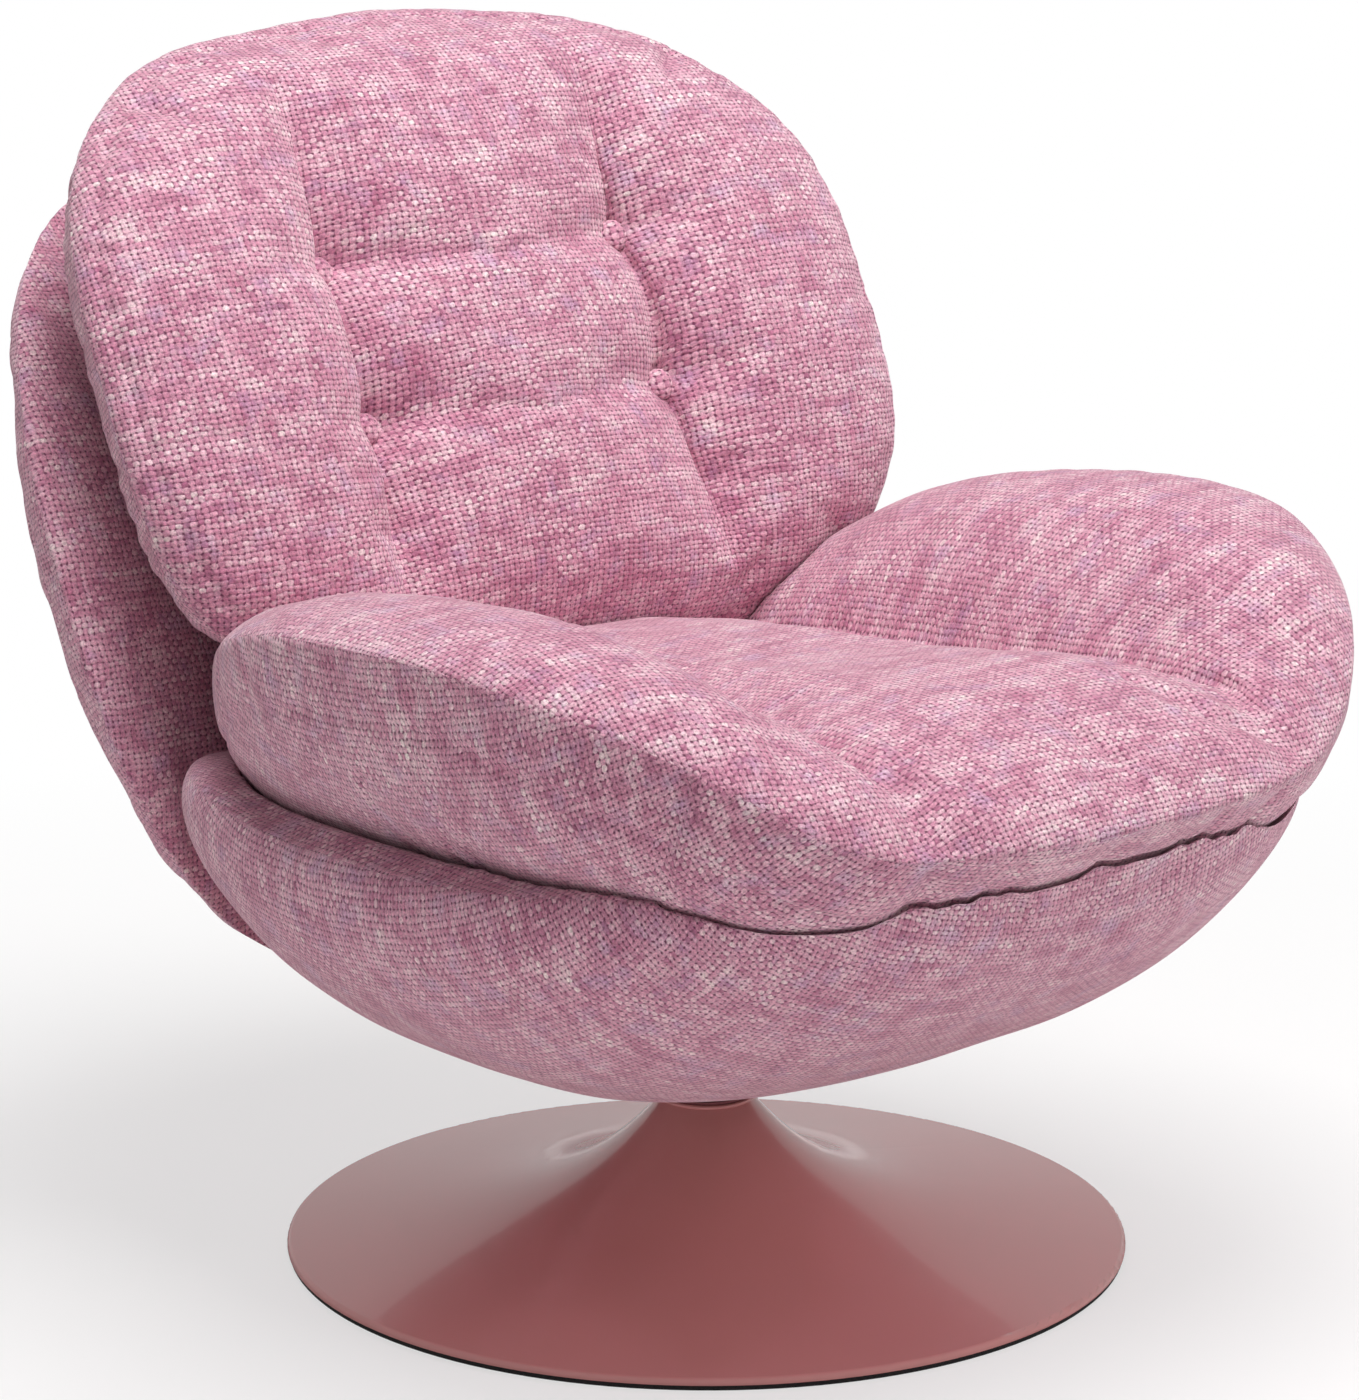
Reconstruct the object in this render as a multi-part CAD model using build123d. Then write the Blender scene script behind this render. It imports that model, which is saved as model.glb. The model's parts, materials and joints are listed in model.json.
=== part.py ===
from build123d import *
from math import acos, atan2, copysign, cos, degrees, pi, radians, sin, sqrt
import os

# Swivel lounge chair on a trumpet base, in millimetres.
# The origin is on the floor under the swivel axis, the sitter faces -Y and +Z is up.

# Fits
slide_fit = 0.05  # radial play of a shaft in its bush, and of pieces pushed together
soft_gap = 0.4  # space left between two padded forms, or round a piece buried in padding
hole_play = 0.3  # radial play of a bolt in its hole

# Trumpet base
base_radius = 272.0
base_wall = 2.0
cone_rise = 36.0  # height that the plain cone under the flare gains from rim to neck
base_flare = 5.0  # how tightly the trumpet turns up at its neck
rim_height = 4.5  # edge of the trumpet above the gasket
rim_roll = 3.5  # radius that the rim is rolled to
neck_radius = 30.0
neck_top = 100.0  # top of the trumpet above the floor
neck_lip = 1.5  # radius of the roll at the trumpet's mouth
flare_stations = 12  # points that the flare's curve is drawn through
gasket_height = 3.5
gasket_width = 17.0
gasket_set_back = 1.0
gasket_chamfer = 0.6
base_plate_thickness = 2.0
ballast_radius = 150.0
ballast_thickness = 8.0

# Column
column_outer = 22.0
column_wall = 3.5
foot_radius = 50.0
foot_thickness = 5.0
foot_bolt_circle = 36.0
foot_bolt_radius = 4.0
foot_bolt_head = 2.5
foot_nut_height = 6.0
bolts_per_ring = 4
head_share = 1.7  # a bolt head's radius over its shank's
bush_length = 20.0
bush_flange = 2.0
washer_thickness = 2.0
collar_depth = 14.0
collar_flange = 1.5

# Spindle and its retaining clip
spindle_radius = 14.0
spindle_clearance = 4.0
clip_thickness = 1.5
clip_groove = 1.2  # depth of the clip's groove
clip_reach = 2.6  # how far the clip stands out of the spindle
spindle_tail = 6.0  # spindle left below the clip

# Mounting plate and seat board
boss_radius = 23.0
boss_height = 47.0
plate_side = 130.0
plate_thickness = 5.0
plate_recess = 16.0  # how far the plate sits up inside the shell
plate_bolt_spacing = 96.0
plate_bolt_radius = 4.0
plate_bolt_head = 4.0
plate_corner = 12.0
board_width = 230.0
board_depth = 190.0
board_thickness = 15.0
board_middle = -35.0  # the board's middle lies ahead of the axis
board_corner = 20.0
t_nut_wall = 1.5
t_nut_flange_radius = 10.0
t_nut_flange = 1.5

# Padded forms. A form is a pillow: a middle surface with a rounded outline,
# thickened to both sides. Widths are measured along the bent middle surface.
sections_per_form = 11
points_per_quarter = 7
quarter_starts = [pi / 4, 3 * pi / 4, 5 * pi / 4, 7 * pi / 4]
end_share = 0.985  # where the first and last section lie, as a share of the form's length

cushion_width = 395.0  # half width
cushion_front = 300.0
cushion_rear = 300.0
cushion_centre = -80.0
cushion_outline = 2.2
cushion_flat = 150.0  # half width of the seat before the wings turn up
cushion_bend = 150.0
cushion_turn = 0.62
cushion_rise = 208.0  # middle surface above the shell's underside, over the axis
cushion_rake = 0.055
cushion_up = 50.0
cushion_down = 55.0
cushion_edge_up = 3.6
cushion_edge_down = 3.6
wing_up = 45.0  # how much thicker the arms are than the seat, above and below
wing_down = 35.0
wing_crest = 1.35  # moves the arms' crest outwards as it grows

shell_width = 360.0
shell_front = 340.0
shell_rear = 235.0
shell_outline = 2.6
shell_flat = 80.0
shell_bend = 370.0
shell_dish = 0.00145  # how fast the shell rises to the front and the rear
shell_dish_flat = 20.0
shell_dish_middle = -40.0
shell_up = 100.0
shell_down = 90.0
shell_edge_up = 3.5
shell_edge_down = 2.1

back_width = 325.0
back_below = 230.0
back_above = 235.0
back_centre = 220.0
back_outline = 2.6
back_lean = 21.5
back_curve = 0.00036
back_foot_y = 150.0
back_foot_rise = 225.0  # start of the back's profile above the shell's underside
back_flat = 40.0
back_bend = 887.0
back_front = 52.0
back_rear = 88.0
back_edge_front = 5.4
back_edge_rear = 2.5

rear_width = 360.0
rear_below = 290.0
rear_above = 300.0
rear_centre = 190.0
rear_outline = 2.2
rear_lean = 16.0
rear_curve = 0.00072
rear_foot_y = 240.0
rear_foot_rise = 105.0
rear_flat = 30.0
rear_bend = 550.0
rear_front = 40.0
rear_back = 60.0
rear_edge_front = 2.2
rear_edge_back = 4.3

# Back board, brackets and screws
panel_width = 300.0
panel_height = 240.0
panel_thickness = 12.0
panel_corner = 40.0
panel_middle = 205.0  # along the back's profile
panel_sink = 6.0  # how far the panel's face lies behind the deepest part of the back cushion
bracket_spacing = 190.0
bracket_width = 40.0
bracket_thickness = 6.0
bracket_bend = 40.0
bracket_reach = 90.0  # length lying on the seat board
bracket_knee = 60.0  # how far below the panel a bracket bends forward
bracket_overlap = 180.0  # length lying on the panel
screw_radius = 2.5
screw_head_radius = 5.0
screw_head = 3.0
screw_length = 14.0
screw_margin = 20.0

# Tufting
button_radius = 12.0
button_thickness = 9.0
button_spacing = 260.0
button_lower = 167.0  # along the back's profile
button_upper = 271.0
button_dome = 0.6  # share of the button's thickness that its dome takes
button_names = ("lower_right", "lower_left", "upper_right", "upper_left")
tuft_depth = 26.0
tuft_over = 30.0  # how far the dimple's cone runs on past the cushion's surface
tuft_radius = 42.0
twine_radius = 1.5
anchor_radius = 9.0
anchor_thickness = 2.0

# Heights that follow from the sizes above
rim_top = gasket_height + rim_height
rim_top_radius = base_radius - rim_roll
column_top = neck_top - bush_flange
washer_bottom = neck_top
boss_bottom = washer_bottom + washer_thickness
plate_bottom = boss_bottom + boss_height
plate_top = plate_bottom + plate_thickness
board_top = plate_top + board_thickness
shell_bottom = plate_bottom - plate_recess
base_plate_top = gasket_height + base_plate_thickness
ballast_top = base_plate_top + ballast_thickness
foot_top = ballast_top + foot_thickness
column_inner = column_outer - column_wall
spindle_bottom = foot_top + spindle_clearance
neck_inner = neck_radius - base_wall
t_nut_barrel = plate_bolt_radius + t_nut_wall
clip_bottom = spindle_bottom + spindle_tail
lower_bush_bottom = clip_bottom + clip_thickness + slide_fit


def disc(outer, inner, bottom, height):
    """A flat ring about the axis, or a plain disc where the inner radius is nothing."""
    ring = extrude(Pos(0, 0, bottom) * Circle(outer), height)
    if inner > 0:
        ring -= extrude(Pos(0, 0, bottom) * Circle(inner), height)
    return ring


def ring_places():
    """The foot bolts' places, halfway between the axes."""
    return list(PolarLocations(foot_bolt_circle, bolts_per_ring, start_angle=180 / bolts_per_ring))


def plate_places():
    return list(GridLocations(plate_bolt_spacing, plate_bolt_spacing, 2, 2))


def pins(places, radius, bottom, height):
    """Upright pins, one at each place."""
    return [place * Pos(0, 0, bottom) * extrude(Circle(radius), height) for place in places]


def without(solid, cutters):
    """The solid less each cutter in turn."""
    for cutter in cutters:
        solid -= cutter
    return solid


def flare_height(radius):
    """Height of the trumpet's outside at a radius."""
    inward = (rim_top_radius - radius) / (rim_top_radius - neck_radius)
    flare_rise = neck_top - neck_lip - rim_top - cone_rise
    return rim_top + cone_rise * inward + flare_rise * inward**base_flare


def flare_normal(radius):
    """Unit vector out of the trumpet's outside, as distance from the axis and height."""
    step = 0.01
    inner = max(radius - step, neck_radius)
    slope = (flare_height(inner + step) - flare_height(inner)) / step
    length = sqrt(1 + slope**2)
    return -slope / length, 1 / length


def trumpet_base():
    """The trumpet's thin skin, with an upright rim and a rolled mouth."""
    step = (neck_radius - rim_top_radius) / flare_stations
    radii = [rim_top_radius + step * i for i in range(flare_stations + 1)]
    outside = [(r, flare_height(r)) for r in radii]
    lining = [
        (r - flare_normal(r)[0] * base_wall, flare_height(r) - flare_normal(r)[1] * base_wall)
        for r in radii
    ]
    rim_foot = (base_radius, gasket_height)
    rim_side = (base_radius, rim_top - rim_roll)
    rim_back = rim_roll * (1 - sqrt(2) / 2)
    rim_bend = (base_radius - rim_back, rim_top - rim_back)
    lining_foot = (base_radius - base_wall, gasket_height)
    lining_corner = (base_radius - base_wall, lining[0][1])
    outline = [
        Line(rim_foot, rim_side),
        ThreePointArc(rim_side, rim_bend, outside[0]),
        Spline(outside),
        Line(outside[-1], lining[-1]),
        Spline(lining),
        Line(lining[0], lining_corner),
        Line(lining_corner, lining_foot),
        Line(lining_foot, rim_foot),
    ]
    skin = revolve(Plane.XZ * make_face(outline), Axis.Z)
    mouth = disc(neck_radius, neck_inner, neck_top - collar_depth, collar_depth - neck_lip)
    roll = Plane.XZ * Pos(neck_inner + neck_lip, neck_top - neck_lip) * Circle(neck_lip)
    return skin + mouth + revolve(roll, Axis.Z)


def column_tube():
    """The column's tube on its foot flange."""
    tube = disc(column_outer, column_inner, ballast_top, column_top - ballast_top)
    foot = disc(foot_radius, column_inner, ballast_top, foot_thickness)
    return without(tube + foot, pins(ring_places(), foot_bolt_radius + hole_play, 0, foot_top))


def foot_bolts():
    """Bolts up through the base plate, the ballast and the column's foot."""
    head_bottom = gasket_height - foot_bolt_head
    reach = foot_top + foot_nut_height - head_bottom
    heads = pins(ring_places(), foot_bolt_radius * head_share, head_bottom, foot_bolt_head)
    shanks = pins(ring_places(), foot_bolt_radius, head_bottom, reach)
    return [head + shank for head, shank in zip(heads, shanks)]


def foot_nuts():
    nut = extrude(RegularPolygon(foot_bolt_radius * head_share, 6), foot_nut_height)
    nut -= extrude(Circle(foot_bolt_radius + slide_fit), foot_nut_height)
    return [place * Pos(0, 0, foot_top) * nut for place in ring_places()]


def base_plates():
    """The closing plate inside the rim, and the ballast on it, bored for the bolts."""
    holes = pins(ring_places(), foot_bolt_radius + hole_play, 0, ballast_top)
    plate = disc(base_radius - base_wall - slide_fit, 0, gasket_height, base_plate_thickness)
    ballast = disc(ballast_radius, 0, base_plate_top, ballast_thickness)
    return without(plate, holes), without(ballast, holes)


def gasket():
    """Black rubber ring that the rim and the closing plate stand on."""
    outer = base_radius - gasket_set_back
    ring = disc(outer, outer - gasket_width, 0, gasket_height)
    return chamfer(ring.edges().sort_by(Axis.Z)[:2], gasket_chamfer)


def bush(bottom, flange_bottom):
    """A plain bush in the column, with a flange where one is asked for."""
    sleeve = disc(column_inner - slide_fit, spindle_radius + slide_fit, bottom, bush_length)
    if flange_bottom is not None:
        sleeve += disc(column_outer, spindle_radius + slide_fit, flange_bottom, bush_flange)
    return sleeve


def neck_collar():
    """Fills the ring between the column and the trumpet's neck, with a thin flange over the roll."""
    sleeve = disc(neck_inner - slide_fit, column_outer + slide_fit, neck_top - collar_depth, collar_depth)
    return sleeve + disc(neck_radius - neck_lip, column_outer + slide_fit, neck_top, collar_flange)


def spindle():
    """The turning spindle, up through the boss to the plate's top, grooved for its clip."""
    shaft = disc(spindle_radius, 0, spindle_bottom, plate_top - spindle_bottom)
    groove = disc(spindle_radius + 1, spindle_radius - clip_groove, clip_bottom, clip_thickness + slide_fit)
    return shaft - groove


def clip():
    """Snap ring in the spindle's groove, open on one side."""
    ring = disc(spindle_radius + clip_reach, spindle_radius - clip_groove + slide_fit, clip_bottom, clip_thickness)
    mouth = Pos(0, spindle_radius, clip_bottom) * Box(spindle_radius / 2, spindle_radius * 2, clip_thickness * 2)
    return ring - mouth


def mounting_plate():
    """Square plate with the boss that carries the spindle."""
    plate = extrude(Pos(0, 0, plate_bottom) * RectangleRounded(plate_side, plate_side, plate_corner), plate_thickness)
    boss = disc(boss_radius, 0, boss_bottom, boss_height)
    bore = disc(spindle_radius + slide_fit, 0, boss_bottom, plate_top - boss_bottom)
    return without(plate + boss - bore, pins(plate_places(), plate_bolt_radius + hole_play, 0, plate_top))


def seat_board():
    """Plywood board that the plate and the brackets are fixed to."""
    outline = RectangleRounded(board_width, board_depth, board_corner)
    board = extrude(Pos(0, board_middle, plate_top) * outline, board_thickness)
    board = without(board, pins(plate_places(), t_nut_barrel + hole_play, 0, board_top))
    return without(board, pins(low_screw_places(), screw_radius + slide_fit, 0, board_top))


def plate_bolts():
    """Bolts from below through the plate into the T-nuts."""
    head_bottom = plate_bottom - plate_bolt_head
    heads = pins(plate_places(), plate_bolt_radius * head_share, head_bottom, plate_bolt_head)
    shanks = pins(plate_places(), plate_bolt_radius, head_bottom, board_top - head_bottom)
    return [head + shank for head, shank in zip(heads, shanks)]


def t_nuts():
    """Flanged barrels let into the board from above."""
    barrels = pins(plate_places(), t_nut_barrel, plate_top, board_thickness)
    flanges = pins(plate_places(), t_nut_flange_radius, board_top, t_nut_flange)
    bores = pins(plate_places(), plate_bolt_radius + slide_fit, 0, board_top + t_nut_flange)
    return [barrel + flange - bore for barrel, flange, bore in zip(barrels, flanges, bores)]


class Pillow:
    """A padded form: a bent middle surface with a rounded outline, thickened to both sides.

    The profile gives, for a length along the form, a point in the YZ plane and the
    direction that the form's upper side faces there. Each section lies across it.
    """

    def __init__(
        self, profile, width, below, above, centre, outline, flat, bend, turn,
        up, down, edge_up, edge_down, more_up=0.0, more_down=0.0,
    ):
        self.profile = profile
        self.width, self.below, self.above, self.centre = width, below, above, centre
        self.outline, self.flat, self.bend, self.turn = outline, flat, bend, turn
        self.up, self.down, self.edge_up, self.edge_down = up, down, edge_up, edge_down
        self.more_up, self.more_down = more_up, more_down

    def across(self, arc):
        """Place on the bent middle line at an arc length: sideways, lift and slope angle."""
        size = abs(arc)
        angle = min(max((size - self.flat) / self.bend, 0), self.turn)
        rest = max(size - self.flat - self.bend * self.turn, 0)
        side = min(size, self.flat) + self.bend * sin(angle) + rest * cos(angle)
        lift = self.bend * (1 - cos(angle)) + rest * sin(angle)
        return copysign(side, arc), lift, copysign(angle, arc)

    def reach(self, length, grow):
        """How far along its half the form a length lies, from 0 at the centre to 1 at the end."""
        half = (self.above if length > self.centre else self.below) + grow
        return abs(length - self.centre) / half

    def point(self, length, turn, grow):
        """Point of the section at a length, at an angle round the section."""
        share = self.reach(length, grow)
        widest = (self.width + grow) * (1 - share**self.outline) ** (1 / self.outline)
        arc = widest * cos(turn)
        radial = (abs(arc / (self.width + grow)) ** self.outline + share**self.outline) ** (1 / self.outline)
        upper = sin(turn) > 0
        edge = self.edge_up if upper else self.edge_down
        beyond = min(max((abs(arc) - self.flat) / (self.width - self.flat), 0), 1)
        crest = sin(pi * beyond**wing_crest)
        full = (self.up + self.more_up * crest if upper else self.down + self.more_down * crest) + grow
        offset = copysign(full * sqrt(max(1 - radial**edge, 0)), sin(turn))
        side, lift, angle = self.across(arc)
        side -= offset * sin(angle)
        lift += offset * cos(angle)
        y, z, facing_y, facing_z = self.profile(length)
        return Vector(side, y + lift * facing_y, z + lift * facing_z)

    def surface(self, arc, length):
        """Point of the upper side at a place on the middle surface."""
        share = self.reach(length, 0)
        widest = self.width * (1 - share**self.outline) ** (1 / self.outline)
        return self.point(length, acos(arc / widest), 0)

    def quarter(self, length, start, grow):
        """A quarter of a section's outline, as one smooth curve."""
        turns = [start + pi / 2 * k / points_per_quarter for k in range(points_per_quarter + 1)]
        return Spline([self.point(length, turn, grow) for turn in turns])

    def solid(self, grow=0.0):
        """The closed form, grown to all sides where it serves as a cutter."""
        rings = []
        for i in range(sections_per_form):
            share = -end_share * cos(pi * i / (sections_per_form - 1))
            half = (self.above if share > 0 else self.below) + grow
            length = self.centre + share * half
            rings.append(Wire([self.quarter(length, start, grow) for start in quarter_starts]))
        return Solid.make_loft(rings)


def seat_profile(rise, rake, dish, dish_middle, dish_flat):
    """Profile of a seat form, which runs along Y and may rise to the front and the rear."""

    def profile(length):
        past = max(abs(length - dish_middle) - dish_flat, 0)
        return length, shell_bottom + rise - rake * length + dish * past**2, 0.0, 1.0

    return profile


def back_profile(foot_y, rise, lean, curve):
    """Profile of a back form, which leans back more and more with height."""

    def profile(length):
        start = lean * pi / 180
        angle = start + curve * length
        y = foot_y + (cos(start) - cos(angle)) / curve
        z = shell_bottom + rise + (sin(angle) - sin(start)) / curve
        return y, z, -cos(angle), sin(angle)

    return profile


seat_pad = Pillow(
    seat_profile(cushion_rise, cushion_rake, 0, 0, 0),
    cushion_width, cushion_front, cushion_rear, cushion_centre, cushion_outline,
    cushion_flat, cushion_bend, cushion_turn,
    cushion_up, cushion_down, cushion_edge_up, cushion_edge_down, wing_up, wing_down,
)
seat_bowl = Pillow(
    seat_profile(shell_down, 0, shell_dish, shell_dish_middle, shell_dish_flat),
    shell_width, shell_front, shell_rear, 0, shell_outline,
    shell_flat, shell_bend, pi / 2,
    shell_up, shell_down, shell_edge_up, shell_edge_down,
)
back_pad = Pillow(
    back_profile(back_foot_y, back_foot_rise, back_lean, back_curve),
    back_width, back_below, back_above, back_centre, back_outline,
    back_flat, back_bend, pi / 2,
    back_front, back_rear, back_edge_front, back_edge_rear,
)
back_bowl = Pillow(
    back_profile(rear_foot_y, rear_foot_rise, rear_lean, rear_curve),
    rear_width, rear_below, rear_above, rear_centre, rear_outline,
    rear_flat, rear_bend, pi / 2,
    rear_front, rear_back, rear_edge_front, rear_edge_back,
)


def panel_plane():
    """Plane of the back panel's front face, square to the back's profile at the panel's middle."""
    y, z, facing_y, facing_z = back_pad.profile(panel_middle)
    behind = back_rear + panel_sink
    origin = (0, y - behind * facing_y, z - behind * facing_z)
    return Plane(origin=origin, x_dir=(1, 0, 0), z_dir=(0, facing_y, facing_z))


def back_panel():
    """Plywood panel buried in the back shell, bored for the twines and the screws."""
    board = extrude(RectangleRounded(panel_width, panel_height, panel_corner), -panel_thickness)
    for x, y, _ in button_seats():
        board -= Pos(x, y, 0) * extrude(Circle(twine_radius + hole_play), panel_thickness, both=True)
    for x, y in high_screw_places():
        board -= Pos(x, y, -panel_thickness) * extrude(Circle(screw_radius + slide_fit), screw_length, both=True)
    return panel_plane() * board


def board_rear():
    return board_middle + board_depth / 2


def bracket_line():
    """Corners of a bracket's middle line in the YZ plane: along the seat board, then up behind the panel."""
    plane = panel_plane()
    behind = -panel_thickness - bracket_thickness / 2
    top = plane.from_local_coords(Vector(0, bracket_overlap - panel_height / 2, behind))
    knee = plane.from_local_coords(Vector(0, -bracket_knee - panel_height / 2, behind))
    height = board_top + bracket_thickness / 2
    start = Vector(board_rear() - bracket_reach, height)
    return start, Vector(board_rear() - bracket_bend / 2, height), Vector(knee.Y, knee.Z), Vector(top.Y, top.Z)


def bracket(x):
    """One bent steel strip."""
    line = FilletPolyline(*bracket_line(), radius=bracket_bend)
    side = Plane.YZ * trace(line, bracket_thickness)
    return Pos(x, 0, 0) * extrude(side, bracket_width / 2, both=True)


def bracket_slots(x):
    """Straight slots that the padding leaves along a bracket, deep enough for its bends."""
    corners = bracket_line()
    start, heel, knee = corners[:3]
    half_turn = radians((heel - start).get_angle(knee - heel) / 2)
    bend_room = bracket_bend * (1 / cos(half_turn) - 1)
    depth = bracket_thickness + 2 * (soft_gap + bend_room)
    slots = []
    for low, high in zip(corners, corners[1:]):
        run = high - low
        middle = (low + high) / 2
        tilt = degrees(atan2(run.Y, run.X))
        side = Pos(middle.X, middle.Y) * Rot(0, 0, tilt) * Rectangle(run.length + depth, depth)
        slots.append(Pos(x, 0, 0) * extrude(Plane.YZ * side, bracket_width / 2 + soft_gap, both=True))
    return slots


def bracket_sides():
    return [-bracket_spacing / 2, bracket_spacing / 2]


def low_screw_places():
    """Screws down through the brackets into the seat board."""
    first = board_rear() - bracket_reach + screw_head_radius * 2
    last = board_rear() - bracket_bend - screw_head_radius
    return [Pos(x, y) for x in bracket_sides() for y in (first, last)]


def high_screw_places():
    """Screws through the brackets into the panel, as places on the panel."""
    first = screw_margin - panel_height / 2
    last = bracket_overlap - panel_height / 2 - screw_margin
    return [(x, y) for x in bracket_sides() for y in (first, last)]


def screw(grow=0.0):
    """A screw that points down, its head standing on the ground plane."""
    shank = extrude(Circle(screw_radius + grow), -screw_length)
    return shank + Pos(0, 0, -grow) * extrude(Circle(screw_head_radius + grow), screw_head + 2 * grow)


def low_screws(grow=0.0):
    return [place * Pos(0, 0, board_top + bracket_thickness) * screw(grow) for place in low_screw_places()]


def high_screws(grow=0.0):
    """The upper screws, put in from behind."""
    behind = -panel_thickness - bracket_thickness
    turned = [Pos(x, y, behind) * Rot(180, 0, 0) * screw(grow) for x, y in high_screw_places()]
    return [panel_plane() * one for one in turned]


def button_seats():
    """Where each tuft button sits, on the panel's plane and above it."""
    plane = panel_plane()
    seats = []
    for length in (button_lower, button_upper):
        for side in (-1, 1):
            surface = back_pad.surface(side * button_spacing / 2, length)
            local = plane.to_local_coords(surface)
            seats.append((local.X, local.Y, local.Z - tuft_depth))
    return seats


def on_panel(x, y, z, solid):
    """Set a solid that is built on the ground plane out along the panel's normal."""
    return panel_plane() * Pos(x, y, z) * solid


def button(seat):
    """A covered button, domed in front."""
    blank = extrude(Circle(button_radius), button_thickness)
    return on_panel(*seat, fillet(blank.edges().sort_by(Axis.Z)[-1], button_thickness * button_dome))


def tuft(seat):
    """The dimple that the button pulls into the cushion."""
    mouth = tuft_depth + tuft_over
    flare = (tuft_radius - button_radius - soft_gap) * mouth / tuft_depth
    cone = Cone(
        button_radius + soft_gap, button_radius + soft_gap + flare, mouth,
        align=(Align.CENTER, Align.CENTER, Align.MIN),
    )
    return on_panel(*seat, cone)


def twine(seat, grow=0.0):
    """Twine from the button's underside to the anchor behind the panel."""
    x, y, z = seat
    length = z + panel_thickness + anchor_thickness
    return on_panel(*seat, extrude(Circle(twine_radius + grow), -length - grow))


def anchor(seat, grow=0.0):
    """Washer that the twine is tied off on."""
    x, y, _ = seat
    ring = extrude(Circle(anchor_radius + grow), -anchor_thickness - grow)
    if grow == 0:
        ring -= extrude(Circle(twine_radius + slide_fit), -anchor_thickness)
    return on_panel(x, y, -panel_thickness, ring)


def seat_hollows():
    """Room in the seat's padding for the plate, the board, the brackets and their fixings."""
    opening = plate_side + 2 * soft_gap
    room = extrude(
        Pos(0, 0, boss_bottom) * RectangleRounded(opening, opening, plate_corner), plate_top - boss_bottom
    )
    outline = RectangleRounded(board_width + 2 * soft_gap, board_depth + 2 * soft_gap, board_corner)
    board = extrude(Pos(0, board_middle, plate_top) * outline, board_thickness)
    flanges = pins(plate_places(), t_nut_flange_radius + soft_gap, board_top, t_nut_flange + soft_gap)
    strips = [slot for x in bracket_sides() for slot in bracket_slots(x)]
    return [room, board] + flanges + strips + low_screws(soft_gap)


def back_hollows():
    """Room in the back's padding for the panel, the brackets, the twines and their fixings."""
    size = (panel_width + 2 * soft_gap, panel_height + 2 * soft_gap)
    panel = panel_plane() * Pos(0, 0, soft_gap) * extrude(
        RectangleRounded(*size, panel_corner), -panel_thickness - 2 * soft_gap
    )
    strips = [slot for x in bracket_sides() for slot in bracket_slots(x)]
    ties = [shape(seat, soft_gap) for seat in button_seats() for shape in (twine, anchor)]
    return [panel] + strips + ties + high_screws(soft_gap)


def soft_forms():
    """The four padded forms, each clear of the others and of what is buried in it."""
    seat_shell = seat_bowl.solid() - seat_pad.solid(soft_gap)
    seat_cushion = seat_pad.solid() - back_pad.solid(soft_gap)
    back_cushion = back_pad.solid() - seat_bowl.solid(soft_gap)
    back_shell = back_bowl.solid() - back_pad.solid(soft_gap) - seat_bowl.solid(soft_gap)
    seat_shell = without(seat_shell, seat_hollows())
    back_shell = without(back_shell, back_hollows())
    tufts = [tuft(seat) for seat in button_seats()]
    ties = [twine(seat, soft_gap) for seat in button_seats()]
    back_cushion = without(back_cushion, tufts + ties)
    return seat_shell, seat_cushion, back_shell, back_cushion


def save(name, solids):
    """Write one node, of one solid or a group of them."""
    group = solids if isinstance(solids, list) else [solids]
    export_step(Compound([solid for shape in group for solid in shape.solids()]), f"parts/{name}.step")


os.makedirs("parts", exist_ok=True)
base_plate, ballast_disc = base_plates()
seat_shell, seat_cushion, back_shell, back_cushion = soft_forms()
seats = button_seats()
parts = {
    "trumpet_base": trumpet_base(),
    "edge_gasket": gasket(),
    "base_plate": base_plate,
    "ballast_disc": ballast_disc,
    "column_tube": column_tube(),
    "foot_bolts": foot_bolts(),
    "foot_nuts": foot_nuts(),
    "lower_bush": bush(lower_bush_bottom, None),
    "upper_bush": bush(column_top - bush_length, column_top),
    "neck_collar": neck_collar(),
    "thrust_washer": disc(column_outer, spindle_radius + slide_fit, washer_bottom, washer_thickness),
    "spindle": spindle(),
    "spindle_clip": clip(),
    "mounting_plate": mounting_plate(),
    "plate_bolts": plate_bolts(),
    "plate_t_nuts": t_nuts(),
    "seat_board": seat_board(),
    "seat_shell": seat_shell,
    "seat_cushion": seat_cushion,
    "back_panel": back_panel(),
    "back_shell": back_shell,
    "back_cushion": back_cushion,
    "bracket_screws_low": low_screws(),
    "bracket_screws_high": high_screws(),
    "tuft_twines": [twine(seat) for seat in seats],
    "tuft_anchors": [anchor(seat) for seat in seats],
}
holes = low_screws(hole_play) + high_screws(hole_play)
for side, x in zip(("right", "left"), bracket_sides()):
    parts[f"back_bracket_{side}"] = without(bracket(x), holes)
for name, seat in zip(button_names, seats):
    parts[f"tuft_button_{name}"] = button(seat)
for name, solids in parts.items():
    save(name, solids)
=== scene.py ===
import json
import math
import bpy
import numpy as np
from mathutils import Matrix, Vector
from mathutils.bvhtree import BVHTree


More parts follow.
